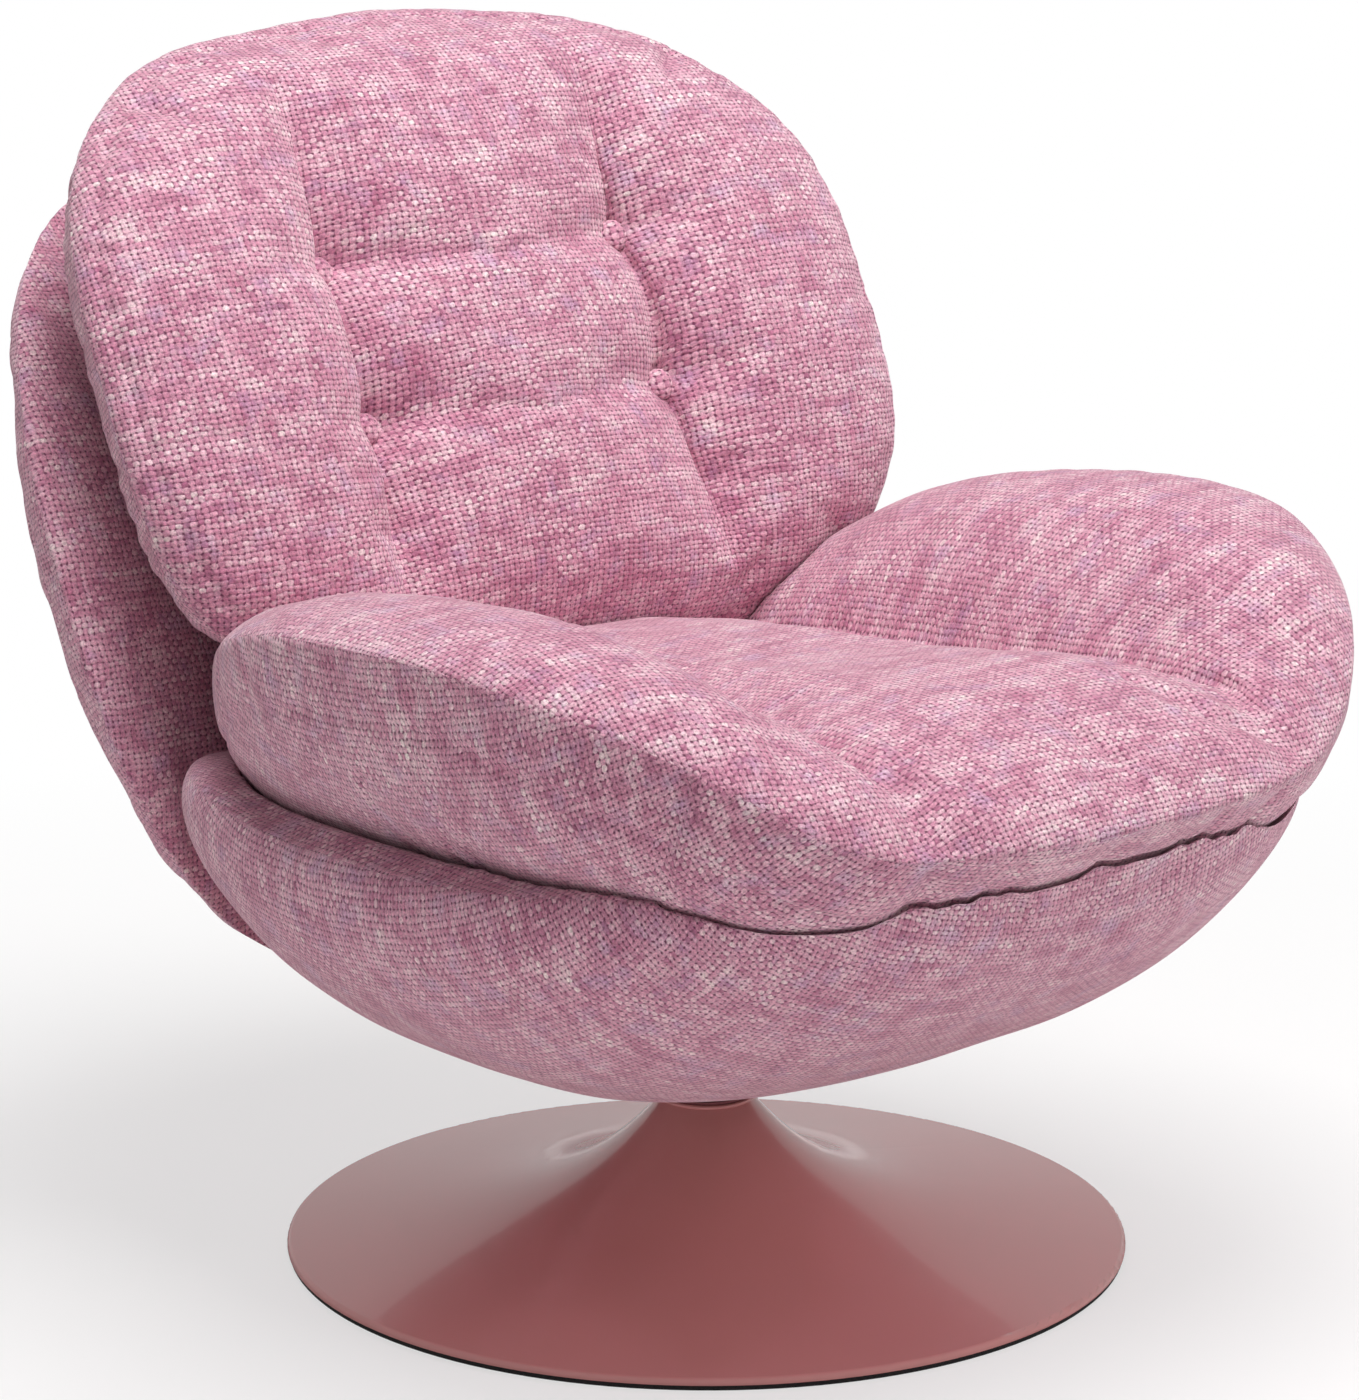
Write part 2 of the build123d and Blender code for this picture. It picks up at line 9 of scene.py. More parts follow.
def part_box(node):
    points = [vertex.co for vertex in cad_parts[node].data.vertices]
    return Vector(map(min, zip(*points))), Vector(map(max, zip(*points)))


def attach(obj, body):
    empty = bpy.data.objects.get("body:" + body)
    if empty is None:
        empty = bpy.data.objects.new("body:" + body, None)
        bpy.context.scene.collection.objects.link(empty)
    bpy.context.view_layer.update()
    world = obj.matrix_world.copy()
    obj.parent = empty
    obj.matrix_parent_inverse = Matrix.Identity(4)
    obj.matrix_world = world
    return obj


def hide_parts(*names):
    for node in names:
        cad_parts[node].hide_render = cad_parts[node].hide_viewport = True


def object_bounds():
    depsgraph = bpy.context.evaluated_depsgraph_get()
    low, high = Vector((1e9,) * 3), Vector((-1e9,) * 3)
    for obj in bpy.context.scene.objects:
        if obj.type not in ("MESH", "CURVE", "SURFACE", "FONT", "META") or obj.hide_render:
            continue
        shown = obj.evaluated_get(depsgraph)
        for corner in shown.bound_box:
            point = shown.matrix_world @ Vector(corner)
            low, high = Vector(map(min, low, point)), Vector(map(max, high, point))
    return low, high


# Swivel lounge chair: four woven pads, tufted back, trumpet base.
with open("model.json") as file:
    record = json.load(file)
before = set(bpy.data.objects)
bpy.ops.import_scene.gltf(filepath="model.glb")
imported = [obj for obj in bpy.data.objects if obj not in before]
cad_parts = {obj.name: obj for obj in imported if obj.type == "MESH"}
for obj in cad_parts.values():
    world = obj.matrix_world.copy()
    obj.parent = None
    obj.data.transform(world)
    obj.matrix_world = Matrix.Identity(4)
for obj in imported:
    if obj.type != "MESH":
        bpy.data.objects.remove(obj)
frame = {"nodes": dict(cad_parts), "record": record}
cadBox = [list(corner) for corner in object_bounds()]
nodes = frame["nodes"]
scene = bpy.context.scene
print("frame loaded:", len(nodes), "nodes")


# shared helpers
def toLinear(hexColour):
    parts = [int(hexColour[i:i + 2], 16) / 255 for i in (0, 2, 4)]
    return [p / 12.92 if p <= 0.04045 else ((p + 0.055) / 1.055) ** 2.4 for p in parts] + [1.0]


def addNode(tree, kind, links=None, **settings):
    made = tree.nodes.new("ShaderNode" + kind)
    for key, value in settings.items():
        setattr(made, key, value)
    for key, value in (links or {}).items():
        if isinstance(value, bpy.types.Node):
            value = value.outputs[0]
        if isinstance(value, bpy.types.NodeSocket):
            tree.links.new(value, made.inputs[key])
        else:
            made.inputs[key].default_value = value
    return made


def startMaterial(name, **sockets):
    material = bpy.data.materials.new(name)
    material.use_nodes = True
    shader = material.node_tree.nodes["Principled BSDF"]
    for key, value in sockets.items():
        shader.inputs[key.replace("_", " ")].default_value = value
    return material, material.node_tree, shader


def paintRamp(ramp, stops):
    while len(ramp.color_ramp.elements) < len(stops):
        ramp.color_ramp.elements.new(0.5)
    for element, (place, hexColour) in zip(ramp.color_ramp.elements, stops):
        element.position = place
        element.color = toLinear(hexColour)


def addMesh(name, points, faces):
    mesh = bpy.data.meshes.new(name)
    mesh.from_pydata(points, [], faces)
    mesh.shade_smooth()
    made = bpy.data.objects.new(name, mesh)
    scene.collection.objects.link(made)
    return made


def smoothStep(low, high, value):
    share = np.clip((value - low) / (high - low), 0, 1)
    return share * share * (3 - 2 * share)


# pads: a flat petal outline, bent over a middle surface and puffed to both sides
probe = 1e-4  # between two points that give a direction on a surface


def bendAcross(side, flat, radius, turn):
    size = np.abs(side)
    angle = np.clip((size - flat) / radius, 0, turn)
    rest = np.maximum(size - flat - radius * turn, 0)
    x = np.minimum(size, flat) + radius * np.sin(angle) + rest * math.cos(turn)
    lift = radius * (1 - np.cos(angle)) + rest * math.sin(turn)
    return np.sign(side) * x, lift


def seatSurface(pad, side, length):
    x, lift = bendAcross(side, pad["flat"], pad["bend"], pad["turn"])
    dish = np.maximum(np.abs(length - pad["dishMiddle"]) - pad["dishFlat"], 0)
    z = pad["rise"] - pad["rake"] * length + pad["dish"] * dish ** 2 + lift
    z = z - pad["droop"] * (np.maximum(pad["droopFrom"] - length, 0) / 0.1) ** 2
    return np.stack([x, length + 0 * x, z], -1)


def backSurface(pad, side, length):
    start = math.radians(pad["lean"])
    angle = start + pad["curve"] * length
    y = pad["foot"][0] + (math.cos(start) - np.cos(angle)) / pad["curve"]
    z = pad["foot"][1] + (np.sin(angle) - math.sin(start)) / pad["curve"]
    x, lift = bendAcross(side, pad["flat"], pad["bend"], pad["turn"])
    return np.stack([x, y - lift * np.cos(angle), z + lift * np.sin(angle)], -1)


def padOutline(pad, theta):
    power = np.where(np.sin(theta) > 0, pad["outlineFar"], pad["outlineNear"])
    reach = np.where(np.sin(theta) > 0, pad["far"], pad["near"])
    scale = (np.abs(np.cos(theta)) ** power + np.abs(np.sin(theta)) ** power) ** (-1 / power)
    return pad["width"] * np.cos(theta) * scale, reach * np.sin(theta) * scale


# upper is +1 for the sheet that the sitter touches and -1 for the one behind it
def padSheet(pad, rho, theta, upper, slack=0.0):
    acrossRim, alongRim = padOutline(pad, theta)
    side = acrossRim * rho
    length = pad["middle"] + alongRim * rho
    surface = pad["surface"]
    point = surface(pad, side, length)
    acrossStep = surface(pad, side + probe, length) - surface(pad, side - probe, length)
    alongStep = surface(pad, side, length + probe) - surface(pad, side, length - probe)
    normal = np.cross(acrossStep, alongStep)
    normal /= np.linalg.norm(normal, axis=-1, keepdims=True)
    edge = pad["edgeUp"] if upper > 0 else pad["edgeDown"]
    puff = pad["up"] if upper > 0 else pad["down"]
    thick = puff(side, length) * np.sqrt(np.clip(1 - rho ** edge, 0, 1))
    thick = np.maximum(thick - slack * smoothStep(0.0, 0.3, thick / 0.05), 0)
    return point + normal * (upper * thick)[..., None], side, length


# rings lie evenly along the rounded side, so the rim is as finely drawn as the middle
def ringShares(pad, rings):
    fine = 1 - (1 - np.linspace(0, 1, 400)) ** 2
    height = 0.06 * np.sqrt(1 - fine ** 3)
    run = np.concatenate([[0], np.cumsum(np.hypot(np.diff(fine * pad["width"]), np.diff(height)))])
    shares = np.interp(np.linspace(0, run[-1], rings + 1), run, fine)
    shares[-1] = 1
    return shares


# concentric squares of points, each square spread round the petal
def petalGrid(pad, rings):
    steps = np.arange(-rings, rings + 1)
    along, across = np.meshgrid(steps, steps, indexing="ij")
    ring = np.maximum(np.abs(across), np.abs(along))
    flat = np.abs(across) >= np.abs(along)
    safeAcross = np.where(across == 0, 1, across)
    safeAlong = np.where(along == 0, 1, along)
    eighth = math.pi / 4
    theta = np.where(flat, eighth * along / safeAcross, math.pi / 2 - eighth * across / safeAlong)
    behind = np.where(flat, across < 0, along < 0)
    theta = theta + np.where(behind, math.pi, 0)
    return ringShares(pad, rings)[ring], np.where(ring == 0, 0, theta)


def petalFaces(rings):
    count = 2 * rings + 1
    index = np.arange(count * count).reshape(count, count)
    a, b, c, d = index[:-1, :-1], index[:-1, 1:], index[1:, 1:], index[1:, :-1]
    upperFaces = np.stack([a, b, c, d], -1).reshape(-1, 4)
    inner = np.ones((count, count), bool)
    inner[[0, -1], :] = False
    inner[:, [0, -1]] = False
    lower = index.copy()
    lower[inner] = count * count + np.arange(inner.sum())
    a, b, c, d = lower[:-1, :-1], lower[:-1, 1:], lower[1:, 1:], lower[1:, :-1]
    lowerFaces = np.stack([a, d, c, b], -1).reshape(-1, 4)
    return np.concatenate([upperFaces, lowerFaces]), lower, inner


# how far along the cloth each grid point lies from the pad's centre
def clothPlace(pad, rho, theta, upper):
    shares = 1 - (1 - np.linspace(0, 1, 120)) ** 2
    angles = np.linspace(-math.pi, math.pi, 181)
    rhoTable, angleTable = np.meshgrid(shares, angles, indexing="ij")
    points, side, length = padSheet(pad, rhoTable, angleTable, upper)
    run = np.zeros_like(rhoTable)
    run[1:] = np.cumsum(np.linalg.norm(np.diff(points, axis=0), axis=-1), axis=0)
    turned = (theta + math.pi) % (2 * math.pi) - math.pi
    rows = np.interp(rho, shares, np.arange(len(shares)))
    columns = (turned + math.pi) / (2 * math.pi) * (len(angles) - 1)
    low = np.clip(rows.astype(int), 0, len(shares) - 2)
    left = np.clip(columns.astype(int), 0, len(angles) - 2)
    downShare, rightShare = rows - low, columns - left
    top = run[low, left] * (1 - rightShare) + run[low, left + 1] * rightShare
    bottom = run[low + 1, left] * (1 - rightShare) + run[low + 1, left + 1] * rightShare
    distance = top * (1 - downShare) + bottom * downShare
    acrossRim, alongRim = padOutline(pad, theta)
    size = np.hypot(acrossRim, alongRim)
    return distance * acrossRim / size, distance * alongRim / size


def refine(sheet, other):
    # cubic midpoints, with the other sheet's next ring carrying the curve round the rim
    big = np.pad(sheet, ((1, 1), (1, 1), (0, 0)), mode="edge")
    big[0, 1:-1], big[-1, 1:-1] = other[1], other[-2]
    big[1:-1, 0], big[1:-1, -1] = other[:, 1], other[:, -2]
    for axis in (0, 1):
        grid = np.moveaxis(big, axis, 0)
        count = grid.shape[0] - 2
        made = np.empty((2 * count - 1,) + grid.shape[1:])
        made[0::2] = grid[1:-1]
        made[1::2] = (9 * (grid[1:-2] + grid[2:-1]) - grid[:-3] - grid[3:]) / 16
        big = np.moveaxis(made, 0, axis)
    return big


def sheetNormals(sheet, upper):
    acrossStep = np.gradient(sheet, axis=1)
    alongStep = np.gradient(sheet, axis=0)
    normal = np.cross(acrossStep, alongStep) * upper
    return normal / np.maximum(np.linalg.norm(normal, axis=-1, keepdims=True), 1e-9)


# the stuffing swells the cloth between its stitched points
stuffing = dict(quality=5, mass=0.35, rimHold=0.6, leastHold=0.02)
cushionSwelling = dict(slack=0.002, stretch=12, shear=4, bending=0.6, pressure=5.0, frames=16, cap=0.010)
shellSwelling = dict(slack=0.001, stretch=20, shear=8, bending=1.5, pressure=4.0, frames=12, cap=0.006)
cushionRings, shellRings = 56, 50


def inflate(name, upperSheet, lowerSheet, rings, pins, settings):
    faces, lower, inner = petalFaces(rings)
    points = np.concatenate([upperSheet.reshape(-1, 3), lowerSheet[inner]])
    work = addMesh(name + "Work", points.tolist(), faces.tolist())
    group = work.vertex_groups.new(name="stitched")
    for index, weight in enumerate(pins.reshape(-1)):
        if weight > stuffing["leastHold"]:
            group.add([index], float(min(weight, 1)), "REPLACE")
    cloth = work.modifiers.new("Cloth", "CLOTH")
    cloth.settings.quality = stuffing["quality"]
    cloth.settings.mass = stuffing["mass"]
    cloth.settings.tension_stiffness = settings["stretch"]
    cloth.settings.compression_stiffness = settings["stretch"]
    cloth.settings.shear_stiffness = settings["shear"]
    cloth.settings.bending_stiffness = settings["bending"]
    cloth.settings.vertex_group_mass = "stitched"
    cloth.settings.pin_stiffness = 1.0
    cloth.settings.use_pressure = True
    cloth.settings.uniform_pressure_force = settings["pressure"]
    cloth.settings.effector_weights.gravity = 0
    cloth.collision_settings.use_collision = False
    cloth.point_cache.frame_start = 1
    cloth.point_cache.frame_end = settings["frames"]
    for frameNumber in range(1, settings["frames"] + 1):
        scene.frame_set(frameNumber)
    shown = work.evaluated_get(bpy.context.evaluated_depsgraph_get())
    moved = np.empty(len(points) * 3)
    shown.data.vertices.foreach_get("co", moved)
    moved = moved.reshape(-1, 3)
    scene.frame_set(1)
    shift = moved - points
    size = np.linalg.norm(shift, axis=1, keepdims=True)
    points = points + shift * np.minimum(1, settings["cap"] / np.maximum(size, 1e-9))
    mean, most = (round(float(value) * 1000, 1) for value in (size.mean(), size.max()))
    print(name, "swelled by", mean, "mm, most", most)
    mesh = work.data
    bpy.data.objects.remove(work)
    bpy.data.meshes.remove(mesh)
    count = 2 * rings + 1
    upperMoved = points[:count * count].reshape(count, count, 3)
    return upperMoved, points[lower.reshape(-1)].reshape(count, count, 3)


def makePad(name, pad, rings, swelling):
    rho, theta = petalGrid(pad, rings)
    slack = swelling["slack"]
    upperSheet, side, length = padSheet(pad, rho, theta, 1, slack)
    lowerSheet = padSheet(pad, rho, theta, -1, slack)[0]
    normal = sheetNormals(upperSheet, 1)
    dip, pins, lap = (np.array(values) for values in pad["dips"](side, length))
    upperSheet = upperSheet - normal * dip[..., None]
    upperSheet[..., 0] += lap
    pins[rho == 1] = stuffing["rimHold"]
    lowerSheet[rho == 1] = upperSheet[rho == 1]
    upperSheet, lowerSheet = inflate(name, upperSheet, lowerSheet, rings, pins, swelling)
    upperFine = refine(upperSheet, lowerSheet)
    lowerFine = refine(lowerSheet, upperSheet)
    rhoFine, thetaFine = petalGrid(pad, 2 * rings)
    acrossRim, alongRim = padOutline(pad, thetaFine)
    sideFine, lengthFine = acrossRim * rhoFine, pad["middle"] + alongRim * rhoFine
    sheets = []
    for sheet, upper in ((upperFine, 1), (lowerFine, -1)):
        relief = pad["relief"](sideFine, lengthFine, rhoFine, thetaFine, upper)
        sheets.append(sheet + sheetNormals(sheet, upper) * relief[..., None])
    upperFine, lowerFine = sheets
    lowerFine[rhoFine == 1] = upperFine[rhoFine == 1]
    faces, lower, inner = petalFaces(2 * rings)
    points = np.concatenate([upperFine.reshape(-1, 3), lowerFine[inner]])
    if "press" in pad:
        points = pad["press"](points)
    made = addMesh(name, points.tolist(), faces.tolist())
    # each face corner carries its place in the cloth, and its bolt of cloth
    corners = np.empty((len(faces) * 4, 3), np.float32)
    half = len(faces) // 2
    for start, upper, numbering in ((0, 1, np.arange(rhoFine.size)), (half, -1, lower.reshape(-1))):
        u, v = clothPlace(pad, rhoFine, thetaFine, upper)
        placed = np.zeros((len(points), 2))
        placed[numbering] = np.stack([u.reshape(-1), v.reshape(-1)], -1)
        corners[start * 4:(start + half) * 4, :2] = placed[faces[start:start + half].reshape(-1)]
    corners[:, 2] = pad["bolt"]
    layer = made.data.attributes.new("cloth", "FLOAT_VECTOR", "CORNER")
    layer.data.foreach_set("vector", corners.reshape(-1))
    return made


def treeOf(made):
    return BVHTree.FromPolygons([v.co for v in made.data.vertices], [p.vertices for p in made.data.polygons])


# points stop where a straight look along one axis, from outside the chair, meets the neighbour
def stopAt(points, tree, axis, forward, gap):
    outside = -2.0 * forward
    heading = Vector([forward if i == axis else 0 for i in range(3)])
    for point in points:
        origin = Vector(point)
        origin[axis] = outside
        hit = tree.ray_cast(origin, heading)[0]
        if hit is None:
            continue
        limit = hit[axis] - forward * gap
        if (point[axis] - limit) * forward > 0:
            point[axis] = limit
    return points


def evenly(thick):
    return lambda side, length: thick + 0 * side


def noDips(side, length):
    return 0 * side, 0 * side, 0 * side


# back cushion: tufted with four covered buttons
backCushion = dict(
    surface=backSurface, width=0.325, near=0.23, far=0.235, middle=0.22, outlineNear=3.15, outlineFar=2.4,
    flat=0.0425, bend=0.8875, turn=0.24, lean=21.5, curve=0.3625, foot=(0.15, 0.36),
    edgeUp=5.4, edgeDown=2.5, bolt=0.37, up=evenly(0.0525), rear=0.0885, rearPanel=0.014,
    buttonSide=0.130, buttonLengths=(0.167, 0.271), buttonDepth=0.004, buttonWidth=0.016, buttonHold=0.009,
    creaseDepth=0.027, creaseOuter=0.019, creaseInner=0.032, creaseEnds=(-0.02, 0.13, 0.29, 0.43),
    creaseBow=0.004, creaseSplay=0.10, creaseRound=0.0025, creaseHold=0.35, stitchHalf=0.004,
    bolsterLap=0.009, innerLap=0.45, lapStart=0.003, crown=0.014, crownReach=(0.29, 0.21),
    foldDepth=0.018, foldWidth=0.022, foldReach=0.095, foldOutward=0.036, foldSag=0.012, foldRound=0.003,
)


# the filling behind covers the plywood panel
def backRear(side, length):
    pad = backCushion
    overPanel = (1 - smoothStep(0.16, 0.28, np.abs(side))) * (1 - smoothStep(0.32, 0.44, length))
    return pad["rear"] + pad["rearPanel"] * overPanel


# how deep the stitches pull the cloth in, how far it laps sideways over the creases, and which points hold
def backDips(side, length):
    pad = backCushion
    rows = pad["buttonLengths"]
    between = np.clip((length - rows[0]) / (rows[1] - rows[0]), 0, 1)
    bow = pad["creaseBow"] * np.sin(math.pi * between) + pad["creaseSplay"] * np.maximum(rows[0] - length, 0)
    off = np.abs(side) - pad["buttonSide"] - bow
    ends = pad["creaseEnds"]
    upright = smoothStep(ends[0], ends[1], length) * (1 - smoothStep(ends[2], ends[3], length))
    away = np.sqrt(off ** 2 + pad["creaseRound"] ** 2)
    width = np.where(off > 0, pad["creaseOuter"], pad["creaseInner"])
    spread = np.hypot(side / pad["crownReach"][0], (length - pad["middle"]) / pad["crownReach"][1])
    crown = pad["crown"] * (1 - smoothStep(0.35, 1.0, spread))
    dip = pad["creaseDepth"] * upright * np.exp(-away / width) - crown
    # the outer bolster laps over the crease more than the middle does
    handed = np.where(side < 0, -1.0, 1.0)
    lap = -pad["bolsterLap"] * handed * upright * np.sign(off) * (away / width) * np.exp(1 - away / width)
    lap = lap * np.where(off > 0, 1.0, pad["innerLap"]) * np.minimum(1, np.abs(off) / pad["lapStart"])
    pins = pad["creaseHold"] * upright * (np.abs(off) < pad["stitchHalf"])
    # a fold runs across at each row of buttons, and sags between them
    beside = np.abs(side) - pad["buttonSide"]
    reach = np.where(beside > 0, pad["foldOutward"], pad["foldReach"])
    for place in rows:
        drop = length - place + pad["foldSag"] * np.maximum(-beside / pad["buttonSide"], 0) ** 1.5
        gone = np.sqrt(drop ** 2 + pad["foldRound"] ** 2)
        dip = dip + pad["foldDepth"] * np.exp(-(beside / reach) ** 2) * np.exp(-gone / pad["foldWidth"])
        near = np.hypot(beside, length - place)
        dip = dip + pad["buttonDepth"] * np.exp(-np.sqrt(near ** 2 + 0.005 ** 2) / pad["buttonWidth"])
        pins = np.maximum(pins, 1.0 * (near < pad["buttonHold"]))
    return dip, pins, lap


# hand-stuffed filling never lies quite even
def lumps(side, length, turn):
    high = np.sin(31 * side + 1.3 * turn) * np.sin(27 * length + 2.1 * turn)
    low = np.sin(17 * side + 11 * length + 0.7 * turn)
    fine = np.sin(63 * side - 41 * length + turn) * np.sin(52 * length + 23 * side + 3 * turn)
    return 0.0011 * high + 0.0009 * low + 0.0005 * fine


# a stitched line round the pad at one share of its reach
def seamGroove(rho, depth, seam, width):
    return depth * np.exp(-((rho - seam) / width) ** 2)


# gathers stand at right angles to a seam and fade away from it
def gathers(theta, rho, seam, spread, count, turn):
    wave = np.sin(count * theta + turn) * np.sin(0.37 * count * theta + 2.0 * turn)
    return wave * np.exp(-((rho - seam) / spread) ** 2)


def backRelief(side, length, rho, theta, upper):
    groove = seamGroove(rho, 0.0022, 0.978, 0.006) if upper > 0 else seamGroove(rho, 0.0016, 0.93, 0.010)
    pucker = 0.0011 * gathers(theta, rho, 0.965, 0.03, 58, 0.4)
    return lumps(side, length, 1.0) - groove + pucker


backCushion.update(down=backRear, dips=backDips, relief=backRelief)
cushionBack = makePad("backCushion", backCushion, cushionRings, cushionSwelling)
backTree = treeOf(cushionBack)
print("back cushion made")


# seat cushion: a flat middle and two raised wings
seatCushion = dict(
    surface=seatSurface, width=0.395, near=0.30, far=0.30, middle=-0.08, outlineNear=2.2, outlineFar=2.3,
    flat=0.15, bend=0.15, turn=0.62, rise=0.3435, rake=0.055, dish=0.0, dishMiddle=0.0, dishFlat=0.0,
    droop=0.02, droopFrom=-0.3, edgeUp=3.6, edgeDown=3.6, bolt=1.91, lipUp=0.010, lipDown=0.036,
    creaseSide=0.15, creaseDepth=0.009, creaseWidth=0.016, contactGap=0.0015,
    thickUp=0.05, wingUp=0.045, wingUpFrom=0.15, valleyDepth=0.012, valleyWidth=0.02,
    thickDown=0.055, wingDown=0.035, wingDownFrom=0.09,
)


# the front lip is stuffed fuller between the wings
def frontLip(side, length):
    return smoothStep(0.08, 0.27, -length) * (1 - smoothStep(0.08, 0.26, np.abs(side)))


# 0 where a wing begins and 1 at the pad's edge
def wingShare(side, start):
    return np.clip((np.abs(side) - start) / (seatCushion["width"] - start), 0, 1)


def seatUp(side, length):
    pad = seatCushion
    wing = pad["wingUp"] * np.sin(math.pi * wingShare(side, pad["wingUpFrom"]) ** 1.35) ** 0.8
    valley = pad["valleyDepth"] * np.exp(-((np.abs(side) - pad["creaseSide"]) / pad["valleyWidth"]) ** 2)
    return pad["thickUp"] + wing - valley + pad["lipUp"] * frontLip(side, length)


def seatDown(side, length):
    pad = seatCushion
    wing = pad["wingDown"] * np.sin(math.pi * wingShare(side, pad["wingDownFrom"]) ** 1.2)
    return pad["thickDown"] + wing + pad["lipDown"] * frontLip(side, length)


def seatDips(side, length):
    pad = seatCushion
    off = np.abs(np.abs(side) - pad["creaseSide"])
    rear = smoothStep(-0.36, -0.16, length)
    dip = pad["creaseDepth"] * rear * np.exp(-np.sqrt(off ** 2 + 0.002 ** 2) / pad["creaseWidth"])
    return dip, 0.5 * rear * (off < 0.004), 0 * side


def seatRelief(side, length, rho, theta, upper):
    groove = seamGroove(rho, 0.0018, 0.93, 0.008) if upper < 0 else 0.0
    pucker = 0.0008 * gathers(theta, rho, 0.95, 0.03, 46, 1.7)
    return lumps(side, length, 2.6) - groove + pucker


def seatPress(points):
    return stopAt(points, backTree, 1, 1, seatCushion["contactGap"])


seatCushion.update(up=seatUp, down=seatDown, dips=seatDips, relief=seatRelief, press=seatPress)
cushionSeat = makePad("seatCushion", seatCushion, cushionRings, cushionSwelling)
seatTree = treeOf(cushionSeat)
print("seat cushion made")


# seat shell: the bowl that carries the cushion
seatShell = dict(
    surface=seatSurface, width=0.36, near=0.34, far=0.235, middle=-0.005, outlineNear=2.5, outlineFar=2.7,
    flat=0.08, bend=0.37, turn=0.8, rise=0.225, rake=0.0, dish=1.45, dishMiddle=-0.04, dishFlat=0.02,
    droop=0.0, droopFrom=-0.3, edgeUp=3.0, edgeDown=2.1, bolt=3.3,
    up=evenly(0.05), down=evenly(0.09), contactGap=0.004, plateRoom=0.004, plateEdge=0.006, plateReach=0.03,
)
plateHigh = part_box("mounting_plate")[1]


def shellRelief(side, length, rho, theta, upper):
    return lumps(side, length, 4.2) * 0.7


def shellPress(points):
    points = stopAt(points, seatTree, 2, 1, seatShell["contactGap"])
    # the cover is cut away round the mounting plate
    outside = np.maximum(np.abs(points[:, 0]), np.abs(points[:, 1])) - plateHigh.x - seatShell["plateRoom"]
    inside = 1 - smoothStep(0.0, seatShell["plateEdge"], outside)
    under = points[:, 2] < plateHigh.z + seatShell["plateReach"]
    level = plateHigh.z + seatShell["plateRoom"]
    points[:, 2] += np.where(under, inside * np.maximum(level - points[:, 2], 0), 0)
    return points


seatShell.update(dips=noDips, relief=shellRelief, press=shellPress)
shellSeat = makePad("seatShell", seatShell, shellRings, shellSwelling)
print("seat shell made")


# back shell: the padded panel behind the back cushion
backShell = dict(
    surface=backSurface, width=0.36, near=0.29, far=0.30, middle=0.19, outlineNear=2.175, outlineFar=2.1,
    flat=0.03, bend=0.55, turn=0.475, lean=16.0, curve=0.725, foot=(0.24, 0.24),
    edgeUp=2.7, edgeDown=4.2, bolt=5.1,
    up=evenly(0.03), down=evenly(0.06), contactGap=0.0015,
)


def backShellRelief(side, length, rho, theta, upper):
    groove = seamGroove(rho, 0.0018, 0.955, 0.008) if upper < 0 else 0.0
    return lumps(side, length, 5.9) - groove + 0.0006 * gathers(theta, rho, 0.97, 0.03, 40, 2.9)


def backShellPress(points):
    return stopAt(points, backTree, 1, -1, backShell["contactGap"])


backShell.update(dips=noDips, relief=backShellRelief, press=backShellPress)
shellBack = makePad("backShell", backShell, shellRings, shellSwelling)
print("back shell made")


# covered buttons, pulled into the back
button = dict(radius=0.0108, rise=0.0048, skirt=0.0022, sink=0.0005, wrap=0.62 * math.pi,
              ripple=0.02, pleats=9, clothShare=1.5, bolt=7.7, rings=10, spokes=40)


def coverButton(name, node, pad, side, length):
    rings, spokes = button["rings"], button["spokes"]
    across = backSurface(pad, side + probe, length) - backSurface(pad, side - probe, length)
    along = backSurface(pad, side, length + probe) - backSurface(pad, side, length - probe)
    across, along = across / np.linalg.norm(across), along / np.linalg.norm(along)
    outward = np.cross(across, along)
    low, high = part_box(node)
    centre = np.array((low + high) / 2) - outward * button["sink"]
    points, flats = [centre + outward * button["rise"]], [(0.0, 0.0)]
    for ring in range(1, rings + 1):
        share = ring / rings
        turned = share * button["wrap"]
        size = button["radius"] * math.sin(turned)
        height = button["rise"] * math.cos(turned) - button["skirt"] * share ** 4
        run = share * button["radius"] * button["clothShare"]
        for spoke in range(spokes):
            angle = 2 * math.pi * spoke / spokes
            out = size * (1 + button["ripple"] * math.sin(button["pleats"] * angle) * share ** 3)
            flat = (out * math.cos(angle), out * math.sin(angle))
            points.append(centre + across * flat[0] + along * flat[1] + outward * height)
            flats.append((run * math.cos(angle), run * math.sin(angle)))
    following = [(k + 1) % spokes for k in range(spokes)]
    faces = [(0, 1 + k, 1 + following[k]) for k in range(spokes)]
    for start in range(1, 1 + (rings - 1) * spokes, spokes):
        for k in range(spokes):
            faces.append((start + k, start + k + spokes, start + following[k] + spokes, start + following[k]))
    last = 1 + (rings - 1) * spokes
    faces.append(tuple(last + k for k in reversed(range(spokes))))
    made = addMesh(name, [tuple(p) for p in points], faces)
    layer = made.data.attributes.new("cloth", "FLOAT_VECTOR", "CORNER")
    for loop in made.data.loops:
        layer.data[loop.index].vector = (*flats[loop.vertex_index], button["bolt"] + side)
    return made


buttons = []
for level, length in zip(("lower", "upper"), backCushion["buttonLengths"]):
    for hand, side in (("right", -backCushion["buttonSide"]), ("left", backCushion["buttonSide"])):
        node = "tuft_button_" + level + "_" + hand
        made = coverButton("button" + level.capitalize() + hand.capitalize(), node, backCushion, side, length)
        buttons.append((made, node))
print("buttons made")


